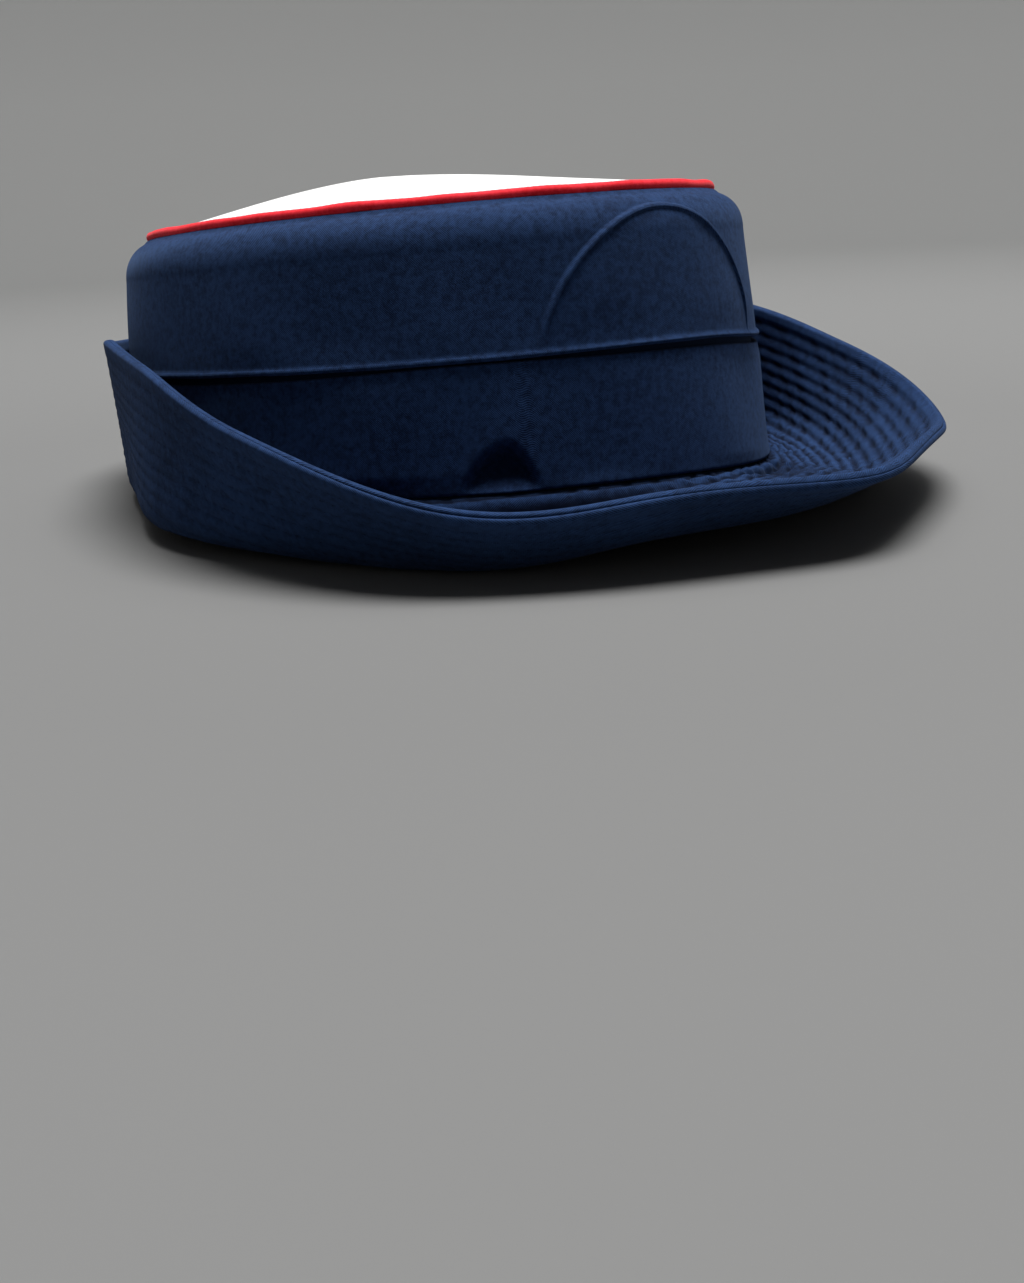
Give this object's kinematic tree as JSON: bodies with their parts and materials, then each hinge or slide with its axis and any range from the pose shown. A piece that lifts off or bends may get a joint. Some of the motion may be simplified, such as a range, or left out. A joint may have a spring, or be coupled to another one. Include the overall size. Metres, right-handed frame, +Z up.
{
  "type": "tricorn hat",
  "caption": "Navy cloth tricorn hat: oval crown with a domed white top, red piping and an arched front panel, and a stitched brim turned up at the sides and back.",
  "frame": {"origin": "middle of the box on the surface that the hat rests on", "axes": "+Z up, -Y towards the pointed front, +X towards the wearer's left"},
  "size_m": [0.2168, 0.274, 0.0873],
  "materials": {
    "crown_cloth": "matt navy twill with a soft nap",
    "brim_cloth": "matt navy twill quilted with rows of topstitching",
    "white_cotton": "plain white cotton",
    "red_piping": "red corded piping"
  },
  "bodies": {
    "root": {"crown_side": "crown_cloth", "crown_band": "crown_cloth", "band_welt": "crown_cloth", "front_panel": "crown_cloth", "crown_top": "white_cotton", "top_piping": "red_piping", "brim": "brim_cloth"}
  },
  "joints": []
}
